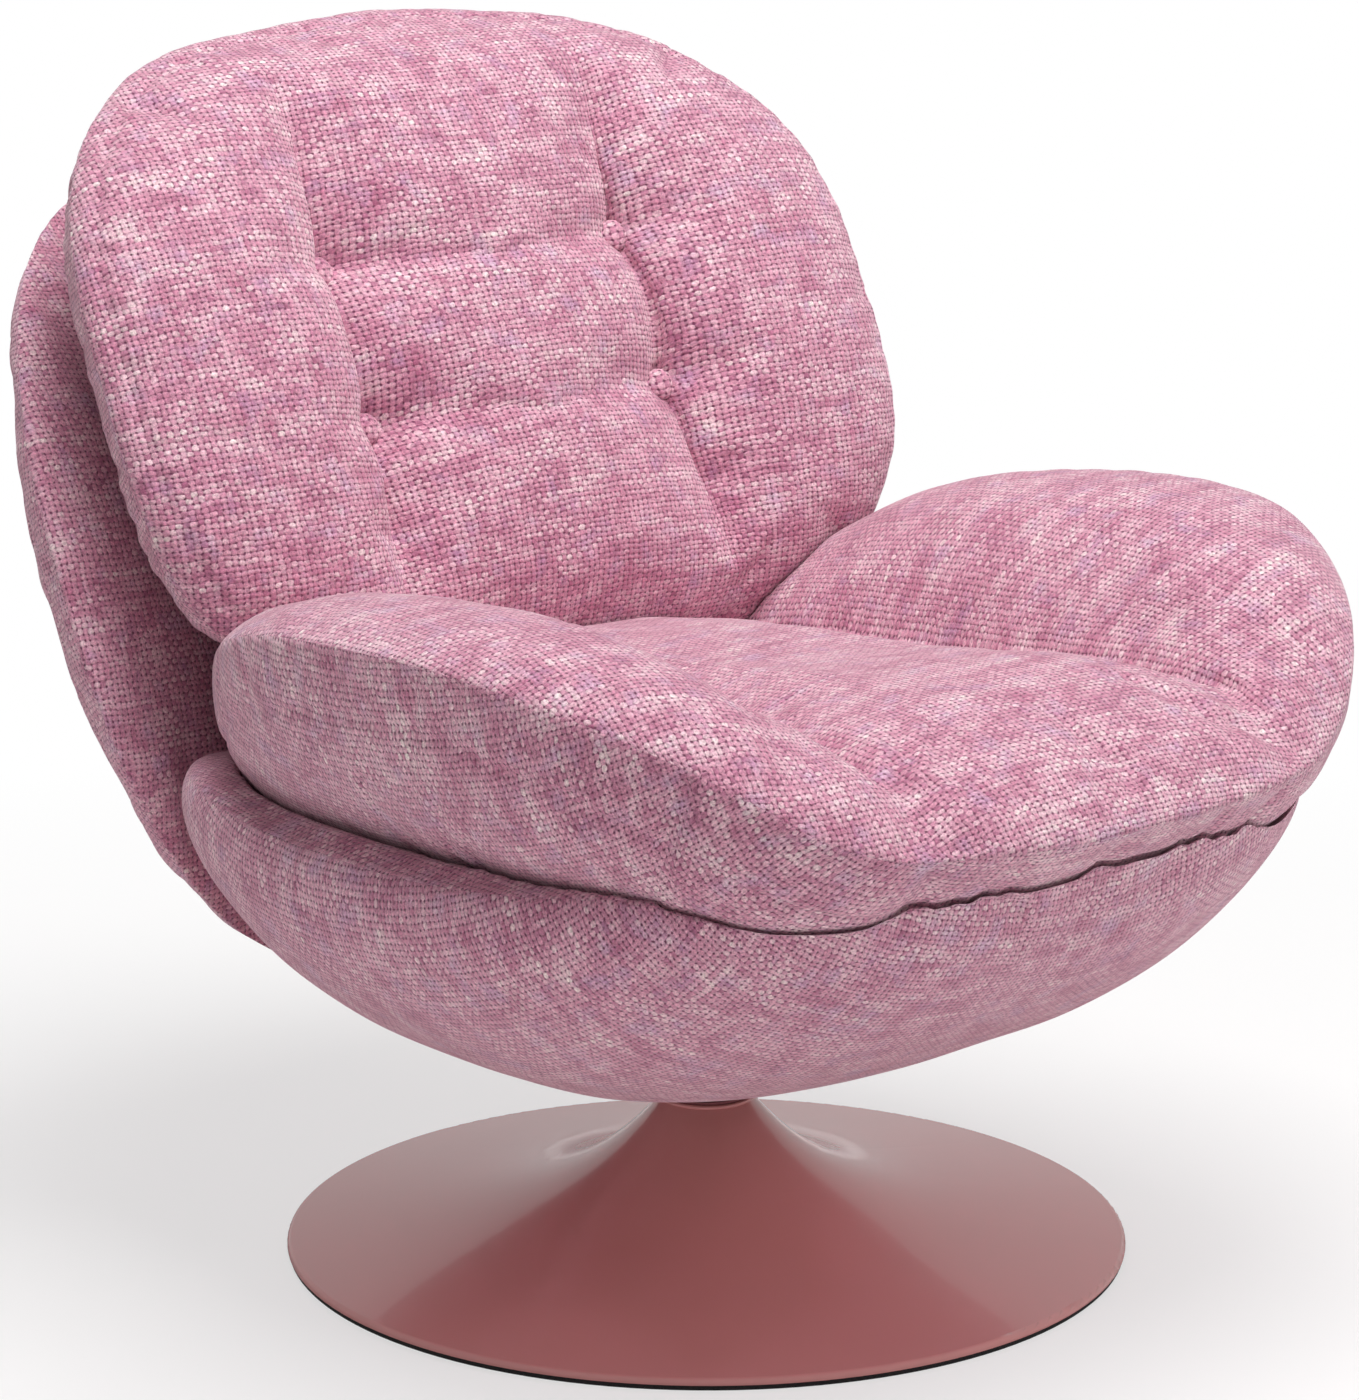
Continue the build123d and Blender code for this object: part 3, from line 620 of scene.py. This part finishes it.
# chunky plain weave of space-dyed chenille yarn, warp and weft of different pinks, with painted shade in the
# holes between the yarns
weave = dict(
    warpPitch=4.4, weftPitch=3.4, waviness=1.1, reliefMm=0.9, roundness=0.5, crimp=0.34,
    warpYarn=((0.0, "8E4767"), (0.28, "B4708C"), (0.5, "CE8FA6"), (0.72, "E0AFC0"), (1.0, "F1D8D8")),
    weftYarn=((0.0, "A05E80"), (0.25, "C58099"), (0.48, "DCA0B4"), (0.7, "EBC6CF"), (1.0, "F9ECE6")),
    hole="7C4260", holeSize=(0.24, 0.28), mauve="C0A0C4", deep="B4607F", yarnShare=0.46,
)


def wovenChenille(name):
    material, tree, shader = startMaterial(name, Roughness=0.95, Specular_IOR_Level=0.15,
                                           Sheen_Weight=0.6, Sheen_Roughness=0.55)
    shader.inputs["Sheen Tint"].default_value = toLinear("FFE6EC")
    cloth = addNode(tree, "Attribute", attribute_name="cloth")
    bent = addNode(tree, "TexNoise", {"Vector": cloth, "Scale": 60.0, "Detail": 4.0, "Roughness": 0.72})
    centred = addNode(tree, "VectorMath", {0: bent.outputs["Color"], 1: (0.5, 0.5, 0.5)},
                      operation="SUBTRACT")
    wave = weave["waviness"] * weave["warpPitch"] / 1000
    bend = addNode(tree, "VectorMath", {0: centred, "Scale": wave}, operation="SCALE")
    placed = addNode(tree, "VectorMath", {0: cloth.outputs["Vector"], 1: bend}, operation="ADD")
    flat = addNode(tree, "SeparateXYZ", {0: placed})
    seed = addNode(tree, "SeparateXYZ", {0: cloth.outputs["Vector"]}).outputs["Z"]
    u = addNode(tree, "Math", {0: flat.outputs["X"], 1: 1000 / weave["warpPitch"]}, operation="MULTIPLY")
    v = addNode(tree, "Math", {0: flat.outputs["Y"], 1: 1000 / weave["weftPitch"]}, operation="MULTIPLY")
    warpEnd = addNode(tree, "Math", {0: u}, operation="FLOOR")
    weftPick = addNode(tree, "Math", {0: v}, operation="FLOOR")
    # place within the cell, from the yarn's middle
    cell = []
    for place, whole in ((u, warpEnd), (v, weftPick)):
        share = addNode(tree, "Math", {0: place, 1: whole}, operation="SUBTRACT")
        cell.append(addNode(tree, "Math", {0: share, 1: 0.5}, operation="SUBTRACT"))
    uIn, vIn = cell
    count = addNode(tree, "Math", {0: warpEnd, 1: weftPick}, operation="ADD")
    odd = addNode(tree, "Math", {0: count, 1: 2.0}, operation="FLOORED_MODULO")
    # +1 where the weft is on top
    sign = addNode(tree, "Math", {0: odd, 1: -2.0, 2: 1.0}, operation="MULTIPLY_ADD")
    # the dye drifts over a few yarns at a time, longer along the weft
    broadPlace = addNode(tree, "VectorMath", {0: placed, 1: (1.0, 2.3, 1.0)}, operation="MULTIPLY")
    broad = addNode(tree, "TexNoise", {"Vector": broadPlace, "Scale": 30.0, "Detail": 6.0, "Roughness": 0.72})
    broadPart = addNode(tree, "Math", {0: broad, 1: 1 - weave["yarnShare"]}, operation="MULTIPLY")
    # colour and thickness run along each yarn, so the noise is stretched along it and jumps from yarn to yarn
    yarns = (
        dict(spots=((warpEnd, 1.43), (v, 0.10)), across=uIn, along=vIn, slim=(2.3, 1.4), over=-1.0,
             dye=weave["warpYarn"]),
        dict(spots=((u, 0.085), (weftPick, 1.37)), across=vIn, along=uIn, slim=(2.15, 1.25), over=1.0,
             dye=weave["weftYarn"]),
    )
    heights, colours = [], []
    for yarn in yarns:
        spot = addNode(tree, "CombineXYZ", {2: seed})
        for axis, (place, run) in enumerate(yarn["spots"]):
            scaled = addNode(tree, "Math", {0: place, 1: run}, operation="MULTIPLY")
            tree.links.new(scaled.outputs[0], spot.inputs[axis])
        tone = addNode(tree, "TexNoise", {"Vector": spot, "Scale": 1.0, "Detail": 3.0, "Roughness": 0.66})
        thick = addNode(tree, "TexNoise", {"Vector": spot, "Scale": 2.3, "Detail": 1.0})
        # round yarns: height falls away from the yarn's middle, and rises where it passes over
        slim = addNode(tree, "MapRange", {"Value": thick, "From Min": 0.32, "From Max": 0.68,
                                          "To Min": yarn["slim"][0], "To Max": yarn["slim"][1]})
        off = addNode(tree, "Math", {0: yarn["across"], 1: slim}, operation="MULTIPLY")
        square = addNode(tree, "Math", {0: off, 1: off}, operation="MULTIPLY")
        rounded = addNode(tree, "Math", {0: square, 1: -1.0, 2: 1.0}, operation="MULTIPLY_ADD")
        turned = addNode(tree, "Math", {0: yarn["along"], 1: math.pi}, operation="MULTIPLY")
        arc = addNode(tree, "Math", {0: turned}, operation="COSINE")
        crossing = addNode(tree, "Math", {0: arc, 1: sign}, operation="MULTIPLY")
        lift = addNode(tree, "Math", {0: crossing, 1: weave["crimp"] * yarn["over"]}, operation="MULTIPLY")
        heights.append(addNode(tree, "Math", {0: rounded, 1: weave["roundness"], 2: lift},
                               operation="MULTIPLY_ADD"))
        dyed = addNode(tree, "Math", {0: tone, 1: weave["yarnShare"], 2: broadPart}, operation="MULTIPLY_ADD")
        colours.append(addNode(tree, "ValToRGB", {0: dyed}))
        paintRamp(colours[-1], [(0.31 + 0.36 * place, colour) for place, colour in yarn["dye"]])
    height = addNode(tree, "Math", {0: heights[1], 1: heights[0]}, operation="MAXIMUM")
    weftOnTop = addNode(tree, "Math", {0: heights[1], 1: heights[0]}, operation="GREATER_THAN")
    colour = addNode(tree, "Mix", {0: weftOnTop, 6: colours[0], 7: colours[1]}, data_type="RGBA")
    # patches where deeper rose or mauve yarns gather
    shifted = addNode(tree, "VectorMath", {0: placed, 1: (4.1, 2.7, 0.9)}, operation="ADD")
    deep = addNode(tree, "TexNoise", {"Vector": placed, "Scale": 34.0, "Detail": 3.0, "Roughness": 0.6})
    cool = addNode(tree, "TexNoise", {"Vector": shifted, "Scale": 52.0, "Detail": 2.0})
    for patch, low, high, most, hexColour in ((deep, 0.52, 0.74, 0.55, weave["deep"]),
                                              (cool, 0.55, 0.75, 0.5, weave["mauve"])):
        share = addNode(tree, "MapRange", {"Value": patch, "From Min": low, "From Max": high,
                                           "To Min": 0.0, "To Max": most})
        colour = addNode(tree, "Mix", {0: share, 6: colour.outputs[2], 7: toLinear(hexColour)},
                         data_type="RGBA")
    # four yarns meet at each corner of the weave and leave a hole, now wider, now tighter; a dark colour is
    # mixed into each hole and along the low edges of the yarns as painted shade
    sides = []
    for inside, size in ((uIn, weave["holeSize"][0]), (vIn, weave["holeSize"][1])):
        far = addNode(tree, "Math", {0: inside}, operation="ABSOLUTE")
        sides.append(addNode(tree, "MapRange", {"Value": far, "From Min": 0.5 - size, "From Max": 0.47},
                             interpolation_type="SMOOTHSTEP"))
    hole = addNode(tree, "Math", {0: sides[0], 1: sides[1]}, operation="MULTIPLY")
    tightness = addNode(tree, "TexNoise", {"Vector": placed, "Scale": 190.0, "Detail": 2.0})
    wide = addNode(tree, "MapRange", {"Value": tightness, "From Min": 0.36, "From Max": 0.62,
                                      "To Min": 0.15, "To Max": 1.8})
    # painted shade where the yarn surface falls low towards its edges
    rim = addNode(tree, "MapRange", {"Value": height, "From Min": 0.26, "From Max": 0.6,
                                     "To Min": 0.5, "To Max": 0.0})
    gapShadeShare = addNode(tree, "Math", {0: hole, 1: wide, 2: rim}, operation="MULTIPLY_ADD", use_clamp=True)
    # the painted shade colour is mixed in over the holes and the low yarn edges
    shadedGaps = addNode(tree, "Mix", {0: gapShadeShare, 6: colour.outputs[2], 7: toLinear(weave["hole"])},
                   data_type="RGBA")
    # fibres: short hairs across the yarn
    fuzz = addNode(tree, "TexNoise", {"Vector": cloth, "Scale": 620.0, "Detail": 3.0, "Roughness": 0.75})
    speck = addNode(tree, "MapRange", {"Value": fuzz, "From Min": 0.34, "From Max": 0.66,
                                       "To Min": 0.66, "To Max": 1.37})
    specked = addNode(tree, "VectorMath", {0: shadedGaps.outputs[2], "Scale": speck}, operation="SCALE")
    tree.links.new(specked.outputs[0], shader.inputs["Base Color"])
    sunk = addNode(tree, "Math", {0: gapShadeShare, 1: -0.5, 2: height}, operation="MULTIPLY_ADD")
    fullHeight = addNode(tree, "Math", {0: fuzz, 1: 0.3, 2: sunk}, operation="MULTIPLY_ADD")
    bump = addNode(tree, "Bump", {"Height": fullHeight, "Strength": 0.85,
                                  "Distance": weave["reliefMm"] / 1000})
    tree.links.new(bump.outputs[0], shader.inputs["Normal"])
    return material


pinkWeave = wovenChenille("wovenChenillePink")
for made in (cushionBack, cushionSeat, shellSeat, shellBack, *[item[0] for item in buttons]):
    made.data.materials.append(pinkWeave)
print("weave laid")


# hard parts
def grain(tree, scale, detail, stretch=(1.0, 1.0, 1.0)):
    place = addNode(tree, "TexCoord")
    turned = addNode(tree, "Mapping", {"Vector": place.outputs["Object"], "Scale": stretch})
    return addNode(tree, "TexNoise", {"Vector": turned, "Scale": scale, "Detail": detail})


def finishSkin(tree, shader, colour, rough, marks, strength, distance):
    bump = addNode(tree, "Bump", {"Height": marks, "Strength": strength, "Distance": distance})
    for made, key in ((colour, "Base Color"), (rough, "Roughness"), (bump, "Normal")):
        tree.links.new(made.outputs[0], shader.inputs[key])


def powderCoat(name, hexColour, roughness, coat, peelMm):
    # baked powder flows into a glossy skin with a faint orange peel
    material, tree, shader = startMaterial(name, Coat_Weight=coat, Coat_Roughness=0.06,
                                           Specular_IOR_Level=0.5)
    peel = grain(tree, 1000 / peelMm, 1.0)
    cloud = grain(tree, 9.0, 1.0)
    tone = addNode(tree, "MapRange", {"Value": cloud, "From Min": 0.3, "From Max": 0.7,
                                      "To Min": 0.985, "To Max": 1.015})
    paint = addNode(tree, "VectorMath", {0: toLinear(hexColour)[:3], "Scale": tone}, operation="SCALE")
    rough = addNode(tree, "MapRange", {"Value": cloud, "From Min": 0.3, "From Max": 0.7,
                                       "To Min": roughness * 0.93, "To Max": roughness * 1.08})
    finishSkin(tree, shader, paint, rough, peel, 0.05, 0.0002)
    return material


def metalSkin(name, lightHex, darkHex, roughness, scale, stretch=(1.0, 1.0, 1.0), depth=0.15):
    material, tree, shader = startMaterial(name, Metallic=1.0)
    marks = grain(tree, scale, 4.0, stretch)
    ramp = addNode(tree, "ValToRGB", {0: marks})
    paintRamp(ramp, [(0.3, darkHex), (0.7, lightHex)])
    rough = addNode(tree, "MapRange", {"Value": marks, "From Min": 0.3, "From Max": 0.7,
                                       "To Min": roughness * 1.25, "To Max": roughness * 0.8})
    finishSkin(tree, shader, ramp, rough, marks, depth, 0.0003)
    return material


def mouldedSkin(name, lightHex, darkHex, roughness, grainMm, depth=0.2):
    material, tree, shader = startMaterial(name, Specular_IOR_Level=0.45)
    marks = grain(tree, 1000 / grainMm, 3.0)
    ramp = addNode(tree, "ValToRGB", {0: marks})
    paintRamp(ramp, [(0.3, darkHex), (0.7, lightHex)])
    rough = addNode(tree, "MapRange", {"Value": marks, "From Min": 0.3, "From Max": 0.7,
                                       "To Min": roughness * 1.15, "To Max": roughness * 0.9})
    finishSkin(tree, shader, ramp, rough, marks, depth, 0.0002)
    return material


skins = {
    "rose_powder_coat": powderCoat("powderCoatedSteelRose", "E39996", 0.24, 0.5, 5.0),
    "black_rubber": mouldedSkin("extrudedRubberBlack", "1E1D1E", "131213", 0.72, 1.2, 0.3),
    "zinc_steel": metalSkin("zincPlatedSteel", "C9CCD0", "A5A9AF", 0.32, 420.0),
    "cast_ballast": metalSkin("sandCastIron", "4A4745", "302E2D", 0.62, 650.0, depth=0.5),
    "white_nylon": mouldedSkin("turnedNylonNatural", "ECEAE0", "DEDBCF", 0.42, 3.0, 0.1),
    "rose_nylon": mouldedSkin("mouldedNylonRose", "9C5458", "8C494D", 0.45, 1.0),
    "bright_steel": metalSkin("groundSteel", "D3D4D6", "B4B6BA", 0.2, 160.0, (1.0, 1.0, 9.0)),
    "black_steel": powderCoat("powderCoatedSteelBlack", "1B1B1C", 0.42, 0.15, 3.0),
    "tufting_twine": mouldedSkin("waxedLinenTwine", "D8CBB2", "B8A888", 0.7, 1.5, 0.5),
}


def birchPlywood(name):
    # long grain runs across the sheet
    material, tree, shader = startMaterial(name, Specular_IOR_Level=0.3)
    place = addNode(tree, "TexCoord")
    long = addNode(tree, "Mapping", {"Vector": place.outputs["Object"], "Scale": (1.0, 14.0, 14.0)})
    lines = addNode(tree, "TexNoise", {"Vector": long, "Scale": 24.0, "Detail": 5.0, "Distortion": 0.6})
    ramp = addNode(tree, "ValToRGB", {0: lines})
    paintRamp(ramp, [(0.3, "B98F5E"), (0.52, "D9B98A"), (0.75, "E7CFA6")])
    rough = addNode(tree, "MapRange", {"Value": lines, "From Min": 0.3, "From Max": 0.7,
                                       "To Min": 0.68, "To Max": 0.52})
    finishSkin(tree, shader, ramp, rough, lines, 0.2, 0.0003)
    return material


skins["birch_plywood"] = birchPlywood("birchPlywoodRaw")
skins["pink_weave"] = pinkWeave
slotOf = {part["node"]: part["material_slot"] for part in frame["record"]["subparts"]}
for name, thing in nodes.items():
    thing.data.materials.clear()
    thing.data.materials.append(skins[slotOf[name]])
print("hard parts painted")


# what moves with what
pads = ((cushionBack, "back_cushion"), (cushionSeat, "seat_cushion"),
        (shellSeat, "seat_shell"), (shellBack, "back_shell"))
for made, node in (*pads, *buttons):
    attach(made, "seat")
    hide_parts(node)


# floor, light and camera
studio = dict(floor="F4F2F1", floorHalf=7.0, floorGap=0.0003, shadeReach=(0.55, 1.35), glowNear=0.6,
              world="FFFFFF", worldStrength=0.24, shineShare=0.5)


def paleFloor():
    half = studio["floorHalf"]
    corners = [(-half, -half, 0), (half, -half, 0), (half, half, 0), (-half, half, 0)]
    floor = addMesh("floor", corners, [(0, 1, 2, 3)])
    floor.location.z = cadBox[0][2] - studio["floorGap"]
    material, tree, shader = startMaterial("paintedFloorWhite", Roughness=0.9, Specular_IOR_Level=0.1)
    shader.inputs["Base Color"].default_value = toLinear(studio["floor"])
    glow = addNode(tree, "Emission", {"Color": (1, 1, 1, 1), "Strength": 1.0})
    path = addNode(tree, "LightPath")
    # the floor keeps the shadow near the chair and runs out to white
    place = addNode(tree, "TexCoord")
    out = addNode(tree, "VectorMath", {0: place.outputs["Object"]}, operation="LENGTH")
    near, far = studio["shadeReach"]
    white = addNode(tree, "MapRange", {"Value": out.outputs["Value"], "From Min": near, "From Max": far,
                                       "To Min": studio["glowNear"], "To Max": 1.0})
    share = addNode(tree, "Math", {0: path.outputs["Is Camera Ray"], 1: white}, operation="MULTIPLY")
    mixed = addNode(tree, "MixShader", {0: share, 1: shader, 2: glow})
    tree.links.new(mixed.outputs[0], tree.nodes["Material Output"].inputs["Surface"])
    floor.data.materials.append(material)


def softBox(name, place, aim, width, height, watts):
    data = bpy.data.lights.new(name, "AREA")
    data.shape = "RECTANGLE"
    data.size, data.size_y, data.energy = width, height, watts
    lamp = bpy.data.objects.new(name, data)
    scene.collection.objects.link(lamp)
    lamp.location = place
    lamp.visible_glossy = False
    lamp.rotation_euler = (Vector(aim) - Vector(place)).to_track_quat("-Z", "Y").to_euler()


paleFloor()
softBox("keySoftBox", (0.0, -0.4, 3.1), (0, 0, 0.4), 1.7, 1.7, 78)
softBox("frontSoftBox", (1.4, -2.3, 1.8), (0, 0, 0.3), 1.5, 1.3, 19)
softBox("leftSoftBox", (-2.8, -0.4, 1.6), (0, 0, 0.4), 1.6, 1.4, 4)
softBox("rearSoftBox", (0.6, 2.8, 2.0), (0, 0, 0.3), 1.6, 1.6, 12)

world = bpy.data.worlds.new("paleStudio")
scene.world = world
world.use_nodes = True
worldTree = world.node_tree
sky = worldTree.nodes["Background"]
sky.inputs["Color"].default_value = toLinear(studio["world"])
# the world is white to look at and dimmer as a light
path = addNode(worldTree, "LightPath")
seen = addNode(worldTree, "Math", {0: path.outputs["Is Camera Ray"], 1: path.outputs["Is Transmission Ray"]},
               operation="MAXIMUM")
shine = addNode(worldTree, "Math", {0: path.outputs["Is Glossy Ray"], 1: studio["shineShare"]},
                operation="MULTIPLY")
share = addNode(worldTree, "Math", {0: seen, 1: shine}, operation="MAXIMUM")
level = addNode(worldTree, "MapRange", {"Value": share, "To Min": studio["worldStrength"], "To Max": 1.0})
worldTree.links.new(level.outputs[0], sky.inputs["Strength"])

camera = bpy.data.objects.new("camera", bpy.data.cameras.new("camera"))
camera.data.sensor_fit = "VERTICAL"
camera.data.sensor_height = 36
camera.data.lens = 129.6
camera.location = (-2.080, -2.310, 1.110)
camera.rotation_euler = (math.radians(90 - 13.56), 0, math.radians(-41.68))
scene.collection.objects.link(camera)
scene.camera = camera
scene.view_settings.view_transform = "Standard"
print("studio set")
